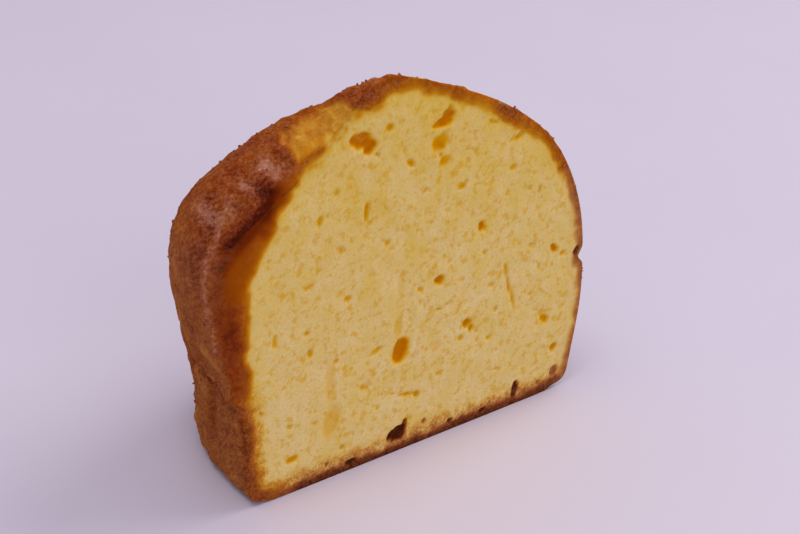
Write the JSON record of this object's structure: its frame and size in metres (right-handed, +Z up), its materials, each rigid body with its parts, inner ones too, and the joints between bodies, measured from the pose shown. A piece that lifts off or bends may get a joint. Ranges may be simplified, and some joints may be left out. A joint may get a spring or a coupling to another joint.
{
  "type": "pound cake slice",
  "caption": "Thick end slice of a small pound cake loaf: domed, browned crust behind one flat cut face of pale yellow crumb.",
  "frame": {"origin": "middle of the bounding box's bottom, on the surface the slice stands on", "axes": "+Z up; the cut face is flat and looks along -Y; +Y points to the browned end of the loaf; +X runs across the loaf, with the burst, folded lobe on the -X side"},
  "size_m": [0.0856, 0.037, 0.076],
  "materials": {
    "cake": "matte"
  },
  "bodies": {
    "root": {"cake_slice": "cake"}
  },
  "joints": []
}
